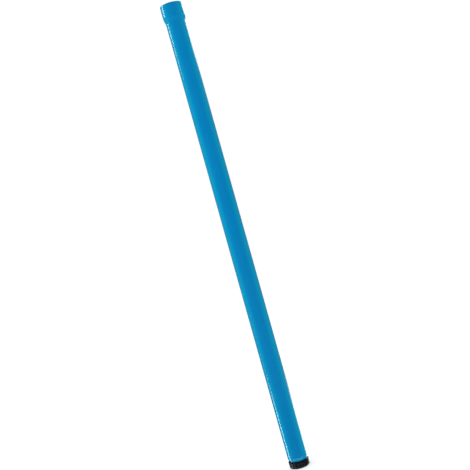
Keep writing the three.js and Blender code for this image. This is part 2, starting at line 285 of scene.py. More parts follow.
@dataclass(frozen=True)
class Scallops:
    """Round grooves down the outside of a grip, which leave ribs between them.

    Each groove is a cylinder of its own radius whose axis stands outside the grip. At an angle b from the groove's
    middle its wall is at c cos(b) - sqrt(q^2 - (c sin(b))^2), where c is the distance of its axis and q its radius.
    The radius kept is the smaller of that and the grip's own, with the edge between them softened.
    """

    count: int
    outside: float
    groove: float
    depth: float
    low: float
    high: float
    edge: float = 0.08 * MM
    steepest: float = 30

    def __call__(self, r: np.ndarray, z: np.ndarray, a: np.ndarray) -> tuple[np.ndarray, np.ndarray]:
        """Cuts the grooves between low and high.

        Args:
            r: radii of the surface's points.
            z: their heights.
            a: their angles.

        Returns:
            The new radii and the same heights.
        """
        turn = TAU / self.count
        b = np.mod(a + turn / 2, turn) - turn / 2
        centre = self.outside + self.groove - self.depth
        inside = self.groove**2 - (centre * np.sin(b)) ** 2
        wall = centre * np.cos(b) - np.sqrt(np.maximum(inside, 0))
        wall = np.where(inside > 0, wall, self.outside + 4 * self.groove)
        gap = np.clip((wall - r) / self.edge, -self.steepest, self.steepest)
        soft = r - self.edge * np.log1p(np.exp(-gap))
        return np.where((z >= self.low) & (z <= self.high), soft, r), z


@dataclass(frozen=True)
class Flutes:
    """Shallow rounded channels along a wall: the radius moves by depth times a power of a cosine of the angle."""

    count: int
    depth: float
    low: float
    high: float
    reach: tuple[float, float]
    sharpness: int = 4
    run_out: float = 0.1

    def __call__(self, r: np.ndarray, z: np.ndarray, a: np.ndarray) -> tuple[np.ndarray, np.ndarray]:
        """Moves the wall by the channels' depth, fading at low and high over the run-out's share of their length.

        Args:
            r: radii of the surface's points.
            z: their heights.
            a: their angles.

        Returns:
            The new radii and the same heights.
        """
        run = (self.high - self.low) * self.run_out
        fade = smoothstep((z - self.low) / run) * smoothstep((self.high - z) / run)
        on_wall = (r >= self.reach[0]) & (r <= self.reach[1])
        wave = ((1 + np.cos(self.count * a)) / 2) ** self.sharpness
        return r + self.depth * wave * fade * on_wall, z


@dataclass(frozen=True)
class CrossRecess:
    """A cross-shaped recess in a face that looks down.

    The recess is deep where the distance across either arm is under half its width and the distance along it is under
    its reach. Its sides slope over a share of its width.
    """

    width: float
    reach: float
    depth: float
    face: float
    slope: float = 0.25

    def __call__(self, r: np.ndarray, z: np.ndarray, a: np.ndarray) -> tuple[np.ndarray, np.ndarray]:
        """Lifts the face inside the cross.

        Args:
            r: radii of the surface's points.
            z: their heights.
            a: their angles.

        Returns:
            The same radii and the new heights.
        """
        run = self.width * self.slope
        b = np.mod(a + math.pi / 4, math.pi / 2) - math.pi / 4
        across, along = np.abs(r * np.sin(b)), r * np.cos(b)
        share = smoothstep((self.width / 2 - across) / run) * smoothstep((self.reach - along) / run)
        return r, z + self.depth * share * (np.abs(z - self.face) < SAME_LEVEL)


# ---------------------------------------------------------------- meshes


def turned(outline: np.ndarray, columns: int, *reliefs: Relief) -> np.ndarray:
    """Turns an outline about the pole's axis.

    The point at row i and column j is (r cos a, r sin a, z), with r and z from the outline and a = j turns / columns,
    after each relief has moved r and z.

    Args:
        outline: rows of radius and height.
        columns: number of steps round the axis.
        *reliefs: what is cut into the surface or raised from it, in order.

    Returns:
        A grid of points, outline by columns by 3.
    """
    a = np.broadcast_to(np.arange(columns) * TAU / columns, (len(outline), columns))
    r = np.repeat(outline[:, :1], columns, axis=1)
    z = np.repeat(outline[:, 1:], columns, axis=1)
    for relief in reliefs:
        r, z = relief(r, z, a)
    return np.stack([r * np.cos(a), r * np.sin(a), z], axis=-1)


def slotted(plain: np.ndarray, slot: np.ndarray, count: int, width: float, columns: int) -> np.ndarray:
    """Turns two outlines by turns: one on the lands and the other in parallel-sided slots.

    The two outlines have the same number of points. A slot's edge is at its middle angle plus or minus
    asin(width / 2r), and each edge has one column of either outline, so the surface between them is the slot's wall.

    Args:
        plain: outline of the lands.
        slot: outline in the slots.
        count: number of slots.
        width: width of a slot.
        columns: steps across each land.

    Returns:
        A grid of points, outline by columns by 3.
    """
    pitch = TAU / count

    def edge(outline: np.ndarray) -> np.ndarray:
        """Half the angle of a slot at each point of an outline."""
        return np.arcsin(np.clip(width / 2 / np.maximum(outline[:, 0], width / 2), -1, 1))

    share = np.linspace(0, 1, columns + 1)[None, :]
    land = edge(plain)[:, None] * (1 - share) + (pitch - edge(plain)[:, None]) * share
    in_slot = np.stack([pitch - edge(slot), pitch + edge(slot)], axis=1)
    angle = np.concatenate([land, in_slot], axis=1)
    turn = (np.arange(count) * pitch)[None, :, None]
    a = (turn + angle[:, None, :]).reshape(len(plain), -1)
    on_land = np.tile(np.arange(columns + 3) <= columns, count)
    r = np.where(on_land, plain[:, :1], slot[:, :1])
    z = np.where(on_land, plain[:, 1:], slot[:, 1:])
    return np.stack([r * np.cos(a), r * np.sin(a), z], axis=-1)


def grid_faces(rows: int, columns: int, closed: bool, wrapped: bool) -> np.ndarray:
    """Quads of a grid of points.

    Args:
        rows: number of rows.
        columns: number of columns.
        closed: whether the last row joins the first.
        wrapped: whether the last column joins the first.

    Returns:
        Four point numbers for each quad.
    """
    i = np.arange(rows if closed else rows - 1)[:, None]
    j = np.arange(columns if wrapped else columns - 1)[None, :]
    i2, j2 = (i + 1) % rows, (j + 1) % columns
    corners = [i * columns + j, i * columns + j2, i2 * columns + j2, i2 * columns + j]
    return np.stack(np.broadcast_arrays(*corners), axis=-1).reshape(-1, 4)


def piece(
    name: str, grid: np.ndarray, closed: bool = True, wrapped: bool = True, sharp: float = SHARP_DEGREES
) -> bpy.types.Object:
    """Makes a closed, outward-facing object from a grid of points.

    Points that meet, such as those on the axis, are merged, and the faces are turned round if they enclose less than
    nothing.

    Args:
        name: the object's name.
        grid: rows by columns by 3.
        closed: whether the last row joins the first.
        wrapped: whether the last column joins the first.
        sharp: edges that turn by more degrees than this stay crisp.

    Returns:
        The object, at the origin, with its place in its mesh.
    """
    rows, columns = grid.shape[:2]
    mesh = bpy.data.meshes.new(name)
    mesh.from_pydata(grid.reshape(-1, 3), [], grid_faces(rows, columns, closed, wrapped).tolist())
    shell = bmesh.new()
    shell.from_mesh(mesh)
    bmesh.ops.remove_doubles(shell, verts=shell.verts, dist=MERGE_DISTANCE)
    bmesh.ops.dissolve_degenerate(shell, edges=shell.edges, dist=SAME_POINT)
    if shell.calc_volume(signed=True) < 0:
        bmesh.ops.reverse_faces(shell, faces=shell.faces)
    shell.to_mesh(mesh)
    shell.free()
    mesh.polygons.foreach_set("use_smooth", np.ones(len(mesh.polygons), dtype=bool))
    mesh.set_sharp_from_angle(angle=math.radians(sharp))
    made = bpy.data.objects.new(name, mesh)
    bpy.context.scene.collection.objects.link(made)
    return made


def bevelled(made: bpy.types.Object, width: float, above: float = 40) -> bpy.types.Object:
    """Breaks the sharp edges of a piece with a small two-step bevel.

    Args:
        made: the piece.
        width: width of the bevel.
        above: edges that turn by more degrees than this are broken.

    Returns:
        The piece.
    """
    bevel = made.modifiers.new("broken_edges", "BEVEL")
    bevel.width = width
    bevel.segments = 2
    bevel.limit_method = "ANGLE"
    bevel.angle_limit = math.radians(above)
    bevel.use_clamp_overlap = True
    return made


# ---------------------------------------------------------------- shader node groups


class Graph:
    """A node tree with short ways to add nodes and join sockets."""

    def __init__(self, tree: bpy.types.NodeTree) -> None:
        """Keeps the tree."""
        self.tree = tree

    def add(self, kind: str, settings: dict | None = None, **inputs: object) -> bpy.types.Node:
        """Adds a node.

        Args:
            kind: the node's class name.
            settings: properties to set on it.
            **inputs: values or sockets for its inputs, by name with spaces written as underscores, or as i0, i1 and
                so on for inputs that share a name.

        Returns:
            The node.
        """
        node = self.tree.nodes.new(kind)
        for key, value in (settings or {}).items():
            setattr(node, key, value)
        for key, value in inputs.items():
            numbered = key[0] == "i" and key[1:].isdigit()
            socket = node.inputs[int(key[1:])] if numbered else node.inputs[key.replace("_", " ")]
            if isinstance(value, bpy.types.NodeSocket):
                self.tree.links.new(value, socket)
            else:
                socket.default_value = value
        return node

    def feed(self, node: bpy.types.Node, **sources: bpy.types.NodeSocket) -> None:
        """Joins sockets to a node's inputs, by name with spaces written as underscores."""
        for key, source in sources.items():
            self.tree.links.new(source, node.inputs[key.replace("_", " ")])

    def maths(self, operation: str, *values: object) -> bpy.types.NodeSocket:
        """Adds a Math node on the given values or sockets and gives its output."""
        node = self.add("ShaderNodeMath", {"operation": operation}, **{f"i{n}": v for n, v in enumerate(values)})
        return node.outputs[0]

    def noise(self, place: bpy.types.NodeSocket, scale: object, detail: float) -> bpy.types.NodeSocket:
        """Adds a noise texture and gives its value."""
        return self.add("ShaderNodeTexNoise", Vector=place, Scale=scale, Detail=detail).outputs["Fac"]

    def blend(self, share: object, first: object, second: object) -> bpy.types.NodeSocket:
        """Mixes two colours by a share of the second and gives the mix."""
        return self.add("ShaderNodeMix", {"data_type": "RGBA"}, i0=share, i6=first, i7=second).outputs[2]

    def between(self, value: object, low: float, high: float, to_low: float, to_high: float) -> bpy.types.NodeSocket:
        """Maps a range onto another with a smooth step.

        Args:
            value: what is mapped.
            low: start of its range.
            high: end of its range.
            to_low: what the start gives.
            to_high: what the end gives.

        Returns:
            The output.
        """
        node = self.add(
            "ShaderNodeMapRange", {"interpolation_type": "SMOOTHSTEP"}, Value=value, From_Min=low, From_Max=high,
            To_Min=to_low, To_Max=to_high,
        )
        return node.outputs["Result"]


def new_group(
    name: str, inputs: dict[str, object], outputs: dict[str, str]
) -> tuple[Graph, bpy.types.Node, bpy.types.Node]:
    """Starts a shader node group with named sockets.

    Args:
        name: the group's name.
        inputs: each input's starting value; a number makes a float, three make a vector and four a colour.
        outputs: each output's socket type.

    Returns:
        The group's graph, its input node and its output node.
    """
    tree = bpy.data.node_groups.new(name, "ShaderNodeTree")
    for label, value in inputs.items():
        count = 1 if isinstance(value, (int, float)) else len(value)
        kind = {1: "NodeSocketFloat", 3: "NodeSocketVector", 4: "NodeSocketColor"}[count]
        socket = tree.interface.new_socket(name=label, in_out="INPUT", socket_type=kind)
        socket.default_value = value
    for label, kind in outputs.items():
        tree.interface.new_socket(name=label, in_out="OUTPUT", socket_type=kind)
    graph = Graph(tree)
    return graph, graph.add("NodeGroupInput"), graph.add("NodeGroupOutput")


def build_mottle() -> bpy.types.NodeTree:
    """Group that shades a colour lighter and darker in soft clouds: base times (1 + amount times centred noise).

    Returns:
        The group's node tree.
    """
    g, given, out = new_group(
        "cloudy_tint", {"Vector": (0, 0, 0), "Base": (0.5, 0.5, 0.5, 1), "Scale": 30.0, "Amount": 0.1},
        {"Color": "NodeSocketColor"},
    )
    vector, base, scale, amount = given.outputs[:4]
    centred = g.maths("SUBTRACT", g.noise(vector, scale, 3.0), 0.5)
    gain = g.maths("MULTIPLY_ADD", centred, amount, 1.0)
    g.feed(out, Color=g.add("ShaderNodeVectorMath", {"operation": "SCALE"}, i0=base, Scale=gain).outputs[0])
    return g.tree


def build_coat_ripple() -> bpy.types.NodeTree:
    """Group that gives the height of a sprayed coat's orange peel: fine noise and a weaker, wider swell.

    Returns:
        The group's node tree.
    """
    g, given, out = new_group(
        "coat_ripple", {"Vector": (0, 0, 0), "Scale": 400.0, "Swell": 0.5}, {"Height": "NodeSocketFloat"}
    )
    vector, scale, swell = given.outputs[:3]
    wide = g.noise(vector, g.maths("MULTIPLY", scale, 0.12), 1.0)
    g.feed(out, Height=g.maths("MULTIPLY_ADD", wide, swell, g.noise(vector, scale, 1.0)))
    return g.tree


def build_draw_lines() -> bpy.types.NodeTree:
    """Group that gives the fine lines that drawing leaves along a tube: noise stretched along Z, thresholded.

    Returns:
        The group's node tree.
    """
    g, given, out = new_group(
        "draw_lines", {"Vector": (0, 0, 0), "Scale": 900.0, "Stretch": 0.01, "Threshold": 0.55},
        {"Mask": "NodeSocketFloat", "Height": "NodeSocketFloat"},
    )
    vector, scale, squeeze, threshold = given.outputs[:4]
    stretch = g.add("ShaderNodeCombineXYZ", X=1.0, Y=1.0, Z=squeeze).outputs["Vector"]
    squeezed = g.add("ShaderNodeVectorMath", {"operation": "MULTIPLY"}, i0=vector, i1=stretch).outputs[0]
    height = g.noise(squeezed, scale, 4.0)
    g.feed(out, Mask=g.between(g.maths("SUBTRACT", height, threshold), 0.0, 0.1, 0.0, 1.0), Height=height)
    return g.tree


def build_sharp_edge_mask() -> bpy.types.NodeTree:
    """Group that marks sharp edges: the surface's pointiness over a threshold, broken up by noise. The plastic parts
    are paler there from rubbing, and the blue coat is made darker there.

    Returns:
        The group's node tree.
    """
    g, given, out = new_group(
        "sharp_edge_mask", {"Vector": (0, 0, 0), "Start": 0.52, "Spread": 0.06, "Breakup": 120.0}, {"Mask": "NodeSocketFloat"}
    )
    vector, start, spread, breakup = given.outputs[:4]
    over = g.maths("SUBTRACT", g.add("ShaderNodeNewGeometry").outputs["Pointiness"], start)
    patches = g.between(g.noise(vector, breakup, 4.0), 0.35, 0.65, 0.2, 1.0)
    broken = g.maths("MULTIPLY", g.maths("DIVIDE", over, spread), patches)
    g.feed(out, Mask=g.maths("MINIMUM", g.maths("MAXIMUM", broken, 0.0), 1.0))
    return g.tree


def build_stipple() -> bpy.types.NodeTree:
    """Group that gives the height of a spark-eroded mould face: small rounded cells with fine noise on them.

    Returns:
        The group's node tree.
    """
    g, given, out = new_group("mould_stipple", {"Vector": (0, 0, 0), "Scale": 1500.0}, {"Height": "NodeSocketFloat"})
    vector, scale = given.outputs[:2]
    cells = g.add("ShaderNodeTexVoronoi", {"feature": "SMOOTH_F1"}, Vector=vector, Scale=scale).outputs["Distance"]
    g.feed(out, Height=g.maths("MULTIPLY_ADD", g.noise(vector, scale, 2.0), 0.6, cells))
    return g.tree


class Effects:
    """The shader node groups that more than one finish uses, each built once."""

    built: dict[str, bpy.types.NodeTree] = {}
    makers: dict[str, Callable[[], bpy.types.NodeTree]] = {
        "cloudy_tint": build_mottle,
        "coat_ripple": build_coat_ripple,
        "draw_lines": build_draw_lines,
        "sharp_edge_mask": build_sharp_edge_mask,
        "mould_stipple": build_stipple,
    }

    @classmethod
    def tree(cls, name: str) -> bpy.types.NodeTree:
        """Gives a group, building it the first time.

        Args:
            name: the group's name.

        Returns:
            The group's node tree.
        """
        if name not in cls.built:
            cls.built[name] = cls.makers[name]()
        return cls.built[name]


# ---------------------------------------------------------------- finishes


Colour = tuple[float, float, float, float]


def shade(colour: Colour, gain: float, lift: float = 0.0, most: float = 1.0) -> Colour:
    """Gives a colour times a gain plus a lift, held to a most, and opaque."""
    return tuple(min(gain * c + lift, most) for c in colour[:3]) + (1,)


@dataclass(frozen=True)
class Finish:
    """What every finish has: a name, a slot name, a base colour, a roughness with its spread, and clouds."""

    name: str
    slot: str
    base: Colour
    roughness: float
    cloud_scale: float = 40.0
    cloud_amount: float = 0.1
    spread: tuple[float, float] = (0.06, 0.06)

    def start(self) -> tuple[bpy.types.Material, Graph, bpy.types.Node, bpy.types.NodeSocket]:
        """Makes the material with its shader.

        Returns:
            The material, its graph, its shader and the socket of the surface's own coordinates.
        """
        material = bpy.data.materials.new(self.name)
        material.use_nodes = True
        graph = Graph(material.node_tree)
        shader = material.node_tree.nodes["Principled BSDF"]
        shader.inputs["Roughness"].default_value = self.roughness
        place = graph.add("ShaderNodeTexCoord").outputs["Object"]
        return material, graph, shader, place

    def effect(self, graph: Graph, name: str, **inputs: object) -> bpy.types.Node:
        """Places a shared node group in the material with its own values."""
        return graph.add("ShaderNodeGroup", {"node_tree": Effects.tree(name)}, **inputs)

    def tint(self, graph: Graph, place: bpy.types.NodeSocket) -> bpy.types.NodeSocket:
        """Gives the base colour in soft clouds."""
        values = {"Base": self.base, "Scale": self.cloud_scale, "Amount": self.cloud_amount}
        return self.effect(graph, "cloudy_tint", Vector=place, **values).outputs[0]

    def varied(self, graph: Graph, value: bpy.types.NodeSocket) -> bpy.types.NodeSocket:
        """Gives a roughness that runs over the finish's spread, from below its own to above it, as a noise grows."""
        return graph.between(value, *NOISE_RANGE, self.roughness - self.spread[0], self.roughness + self.spread[1])

    def bump(self, graph: Graph, shader: bpy.types.Node, height: bpy.types.NodeSocket, depth: float) -> None:
        """Feeds a height into the shader's normal, with the relief's depth in metres."""
        graph.feed(shader, Normal=graph.add("ShaderNodeBump", Strength=1.0, Distance=depth, Height=height).outputs[0])


@dataclass(frozen=True)
class GlossCoat(Finish):
    """A smooth tinted coat on drawn tube.

    Its base colour carries a painted sheen: it turns from blue to a brighter teal where the surface is seen at a slant,
    standing in for the light at the tube's edges. It has faint orange peel and clouds, and is darker and duller on its
    sharp edges, such as the rim. The tint of its reflections is the coat's own.
    """

    cloud_scale: float = 26.0
    cloud_amount: float = 0.12
    spread: tuple[float, float] = (0.03, 0.05)
    patch_scale: float = 14.0
    # Painted sheen: the brighter teal that the base colour turns to where the coat is seen at a slant, and the range of
    # slants over which it does.
    painted_slant_sheen: Colour = (0.0004, 0.298, 0.52, 1)
    painted_sheen_range: tuple[float, float] = (0.02, 0.33)
    # Colour and extra roughness of the coat on sharp edges, such as the rim.
    dark_edge_colour: Colour = (0.004, 0.09, 0.15, 1)
    edge_dulling: float = 0.25
    sheen: Colour = (0.4, 0.95, 1.0, 1)
    specular: float = 0.25
    peel: float = 0.003 * MM

    def build(self) -> bpy.types.Material:
        """Makes the material.

        Returns:
            The material.
        """
        material, g, shader, place = self.start()
        shader.inputs["Specular IOR Level"].default_value = self.specular
        shader.inputs["Specular Tint"].default_value = self.sheen
        # Painted sheen: the base colour turns to a brighter teal at a slant to the view, standing in for light at the
        # tube's edges.
        facing = g.add("ShaderNodeLayerWeight", Blend=0.5).outputs["Facing"]
        tint_with_painted_sheen = g.blend(g.between(facing, *self.painted_sheen_range, 0.0, 1.0), self.tint(g, place), self.painted_slant_sheen)
        # The coat is made darker and duller on sharp edges, such as the rim.
        edge_mask = self.effect(g, "sharp_edge_mask", Vector=place, Start=0.53, Spread=0.08, Breakup=160.0).outputs[0]
        rough = self.varied(g, g.noise(place, self.patch_scale, 3.0))
        dulled = g.maths("MULTIPLY_ADD", edge_mask, self.edge_dulling, rough)
        g.feed(shader, Base_Color=g.blend(edge_mask, tint_with_painted_sheen, self.dark_edge_colour), Roughness=dulled)
        self.bump(g, shader, self.effect(g, "coat_ripple", Vector=place, Scale=420.0, Swell=1.5).outputs[0], self.peel)
        return material


@dataclass(frozen=True)
class Anodised(Finish):
    """Clear anodised tube: soft metal with draw lines along it and a few rubbed marks."""

    cloud_amount: float = 0.08
    spread: tuple[float, float] = (0.06, 0.1)
    metallic: float = 0.75
    line_shade: float = 0.72
    line_depth: float = 0.01 * MM

    def build(self) -> bpy.types.Material:
        """Makes the material.

        Returns:
            The material.
        """
        material, g, shader, place = self.start()
        shader.inputs["Metallic"].default_value = self.metallic
        mask, height = self.effect(g, "draw_lines", Vector=place, Scale=1100.0, Stretch=0.004, Threshold=0.56).outputs
        colour = g.blend(g.maths("MULTIPLY", mask, 0.5), self.tint(g, place), shade(self.base, self.line_shade))
        g.feed(shader, Base_Color=colour, Roughness=self.varied(g, height))
        self.bump(g, shader, height, self.line_depth)
        return material


@dataclass(frozen=True)
class Moulded(Finish):
    """Injection-moulded plastic: stippled mould face, faint clouds, and paler rubbed edges."""

    cloud_scale: float = 90.0
    cloud_amount: float = 0.15
    patch_scale: float = 120.0
    stipple: float = 0.02 * MM
    rubbed: float = 1.8
    specular: float = 0.5

    def build(self) -> bpy.types.Material:
        """Makes the material.

        Returns:
            The material.
        """
        material, g, shader, place = self.start()
        shader.inputs["Specular IOR Level"].default_value = self.specular
        edge_mask = self.effect(g, "sharp_edge_mask", Vector=place, Start=0.54, Spread=0.1, Breakup=300.0).outputs[0]
        pale = shade(self.base, self.rubbed, 0.01, 0.9)
        colour = g.blend(g.maths("MULTIPLY", edge_mask, 0.6), self.tint(g, place), pale)
        g.feed(shader, Base_Color=colour, Roughness=self.varied(g, g.noise(place, self.patch_scale, 3.0)))
        self.bump(g, shader, self.effect(g, "mould_stipple", Vector=place, Scale=1600.0).outputs[0], self.stipple)
        return material


@dataclass(frozen=True)
class Steel(Finish):
    """Stainless steel pressings and screws: fine brushing and a slight drift of tone."""

    cloud_scale: float = 200.0
    cloud_amount: float = 0.12
    spread: tuple[float, float] = (0.08, 0.12)
    brushing: float = 0.006 * MM

    def build(self) -> bpy.types.Material:
        """Makes the material.

        Returns:
            The material.
        """
        material, g, shader, place = self.start()
        shader.inputs["Metallic"].default_value = 1.0
        lines = self.effect(g, "draw_lines", Vector=place, Scale=1800.0, Stretch=0.15, Threshold=0.5)
        height = lines.outputs["Height"]
        g.feed(shader, Base_Color=self.tint(g, place), Roughness=self.varied(g, height))
        self.bump(g, shader, height, self.brushing)
        return material


@dataclass(frozen=True)
class Rubber(Finish):
    """Moulded rubber: matt, finely grained, with a little pale bloom in clouds."""

    spread: tuple[float, float] = (0.1, 0.0)
    patch_scale: float = 70.0
    bloom: Colour = (0.05, 0.05, 0.052, 1)
    grain: float = 0.03 * MM

    def build(self) -> bpy.types.Material:
        """Makes the material.

        Returns:
            The material.
        """
        material, g, shader, place = self.start()
        clouds = g.noise(place, self.patch_scale, 5.0)
        colour = g.blend(g.between(clouds, 0.5, 0.8, 0.0, 0.7), self.base, self.bloom)
        g.feed(shader, Base_Color=colour, Roughness=self.varied(g, clouds))
        self.bump(g, shader, self.effect(g, "mould_stipple", Vector=place, Scale=2600.0).outputs[0], self.grain)
        return material


@dataclass(frozen=True)
class Foam(Finish):
    """Closed-cell foam: small cells seen as pits, darkened inside by painted shade."""

    cloud_scale: float = 150.0
    # Gain of the painted shade in the pits.
    painted_pit_shade: float = 0.7
    pit_depth: float = 0.25 * MM

    def build(self) -> bpy.types.Material:
        """Makes the material.

        Returns:
            The material.
        """
        material, g, shader, place = self.start()
        cells = g.add("ShaderNodeTexVoronoi", Vector=place, Scale=900.0).outputs["Distance"]
        # Painted shade: the colour is darker in the pits, where the bump sinks the surface.
        out_of_pits = g.between(cells, 0.1, 0.5, 0.0, 1.0)
        g.feed(shader, Base_Color=g.blend(out_of_pits, shade(self.base, self.painted_pit_shade), self.tint(g, place)))
        self.bump(g, shader, cells, self.pit_depth)
        return material


class Look(Enum):
    """The finishes of the pole."""

    BLUE = GlossCoat("blue_gloss_coat", "blue_tube", (0.0008, 0.2, 0.462, 1), 0.14)
    SILVER = Anodised("clear_anodised_tube", "silver_tube", (0.56, 0.58, 0.6, 1), 0.34)
    BLACK = Moulded("black_moulded_nylon", "black_nylon", (0.001, 0.004, 0.0075, 1), 0.22, specular=0.1)
    GREY = Moulded("grey_moulded_acetal", "grey_acetal", (0.035, 0.038, 0.042, 1), 0.42)
    WHITE = Moulded("white_moulded_acetal", "white_acetal", (0.62, 0.6, 0.55, 1), 0.42, rubbed=1.1)
    RUBBER = Rubber("black_rubber", "rubber", (0.012, 0.012, 0.013, 1), 0.8)
    STEEL = Steel("stainless_steel", "steel", (0.6, 0.61, 0.63, 1), 0.3)
    FOAM = Foam("closed_cell_foam", "foam", (0.7, 0.67, 0.58, 1), 0.9)


MATERIALS: dict[Look, bpy.types.Material] = {}


def dress(made: bpy.types.Object, look: Look, body: str, node: str) -> bpy.types.Object:
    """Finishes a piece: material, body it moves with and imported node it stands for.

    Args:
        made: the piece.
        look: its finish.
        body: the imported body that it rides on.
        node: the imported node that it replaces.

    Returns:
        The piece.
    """
    if look not in MATERIALS:
        MATERIALS[look] = look.value.build()
    made.data.materials.clear()
    made.data.materials.append(MATERIALS[look])
    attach(made, body)
    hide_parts(node)
    return made


# ---------------------------------------------------------------- the outer tube and its mouth


@dataclass
class OuterShell:
    """The blue tube with its swaged mouth and spun-in butt, and what is fixed inside its two ends."""

    plain_radius: float = 19 * MM
    wall: float = 1.5 * MM
    mouth_depth: float = 23 * MM
    shoulder: float = 13 * MM
    neck_radius: float = 17 * MM
    neck_rounding: float = 6.6 * MM
    neck_lip: float = 0.8 * MM
    rim_edge: float = 0.45 * MM
    lip_edge: float = 0.3 * MM
    groove_depth: float = 0.75 * MM
    groove_edge: float = 0.1 * MM
    channels: int = 8
    channel_depth: float = 0.45 * MM
    channel_overrun: float = 4 * MM
    clip_opening: float = 34.0
    clip_edge: float = 0.2 * MM
    clip_end: float = 0.05
    thread_pitch: float = 3 * MM
    thread_depth: float = 0.6 * MM
    thread_play: float = 0.8 * MM

    def tube(self) -> bpy.types.Object:
        """Builds the tube: up the outside from the neck's lip, over the rim and down the inside, one wall in.

        Returns:
            The piece.
        """
        span, clip = Span.of("outer_tube"), Span.of("mouth_clip")
        rim, wall, edge, small = span.high, self.wall, self.rim_edge, self.groove_edge
        shoulder_low = rim - self.mouth_depth - self.shoulder
        curve = np.vstack([
            quarter_ellipse(self.neck_radius, span.low + self.neck_lip + self.neck_rounding,
                            self.plain_radius - self.neck_radius, self.neck_rounding, 14),
            swaged_shoulder(self.plain_radius, shoulder_low, span.radius - self.plain_radius, self.shoulder, 18),
        ])
        inside = (curve - [wall, 0])[::-1]
        bore, groove = span.radius - wall, span.radius - wall + self.groove_depth
        groove_low, groove_high = clip.low - FIT, clip.high + FIT
        outline = rounded(np.vstack([
            [[self.neck_radius, span.low, self.lip_edge]],
            corners_of(curve),
            [[span.radius, rim, edge], [bore, rim, edge]],
            [[bore, groove_high, small], [groove, groove_high, small]],
            [[groove, groove_low, small], [bore, groove_low, small]],
            corners_of(inside),
            [[self.neck_radius - wall, span.low, self.lip_edge]],
        ]))
        return dress(piece("outer_tube_coated", turned(outline, 180)), Look.BLUE, "outer", "outer_tube")

    def bush(self) -> bpy.types.Object:
        """Builds the guide bush: it fills the shoulder outside and has eight shallow drain channels in its bore.

        Returns:
            The piece.
        """
        span = Span.of("mouth_bush")
        bore = Span.of("middle_tube").radius + SLIDE
        foot = self.plain_radius - self.wall - FIT
        outside = swaged_shoulder(foot, span.low, span.radius - foot, self.shoulder, 14)
        outline = rounded(np.vstack([
            corners_of(outside),
            [[span.radius, span.high, 0.4 * MM], [bore, span.high, 1.0 * MM], [bore, span.low, 0.25 * MM]],
        ]))
        outline = refined(outline, 1.0 * MM, span.low, span.high)
        channels = Flutes(self.channels, self.channel_depth, span.low - self.channel_overrun,
                          span.high + self.channel_overrun, (bore - 0.1 * MM, bore + 0.4 * MM), 10)
        return dress(piece("mouth_guide_bush", turned(outline, 160, channels)), Look.GREY, "outer", "mouth_bush")

    def clip(self) -> bpy.types.Object:
        """Builds the open spring ring.

        A rounded rectangle is carried along an arc. Near the two ends it shrinks towards its middle as the square root
        of 1 - (1 - s)^2, with s the share of the rounded end, so the ends are round and closed.

        Returns:
            The piece.
        """
        span = Span.of("mouth_clip")
        inside = Span.of("middle_collar").radius + GAP
        section = ring(inside, span.radius, span.low, span.high, self.clip_edge, self.clip_edge)
        half = math.radians(self.clip_opening / 2)
        sweep = TAU - 2 * half
        end = np.linspace(0, 0.09, 10)
        angle = half + np.concatenate([end, np.linspace(0.11, sweep - 0.11, 150), sweep - end[::-1]])
        from_end = np.minimum(angle - half, TAU - half - angle) / self.clip_end
        size = np.sqrt(1 - (1 - np.clip(from_end, 0, 1)) ** 2)[None, :]
        middle = section.mean(axis=0)
        r = middle[0] + (section[:, :1] - middle[0]) * size
        z = middle[1] + (section[:, 1:] - middle[1]) * size
        grid = np.stack([r * np.cos(angle), r * np.sin(angle), z], axis=-1)
        return dress(piece("mouth_spring_ring", grid, wrapped=False), Look.STEEL, "outer", "mouth_clip")

    def insert(self) -> bpy.types.Object:
        """Builds the threaded sleeve above the neck, with the cap's thread inside it.

        Returns:
            The piece.
        """
        span, plug = Span.of("butt_insert"), Span.of("butt_buffer").radius
        bore = plug + self.thread_play
        outline = ring(bore, span.radius, span.low, span.high, 0.5 * MM, 0.4 * MM)
        outline = refined(outline, 0.25 * MM, span.low, span.high)
        thread = Thread(self.thread_pitch, self.thread_depth, span.low, span.high, wall_at(bore), False)
        return dress(piece("butt_threaded_sleeve", turned(outline, 120, thread)), Look.GREY, "outer", "butt_insert")

    def build(self) -> list[bpy.types.Object]:
        """Builds the tube, bush, ring and sleeve."""
        return [self.tube(), self.bush(), self.clip(), self.insert()]


# ---------------------------------------------------------------- the butt cap


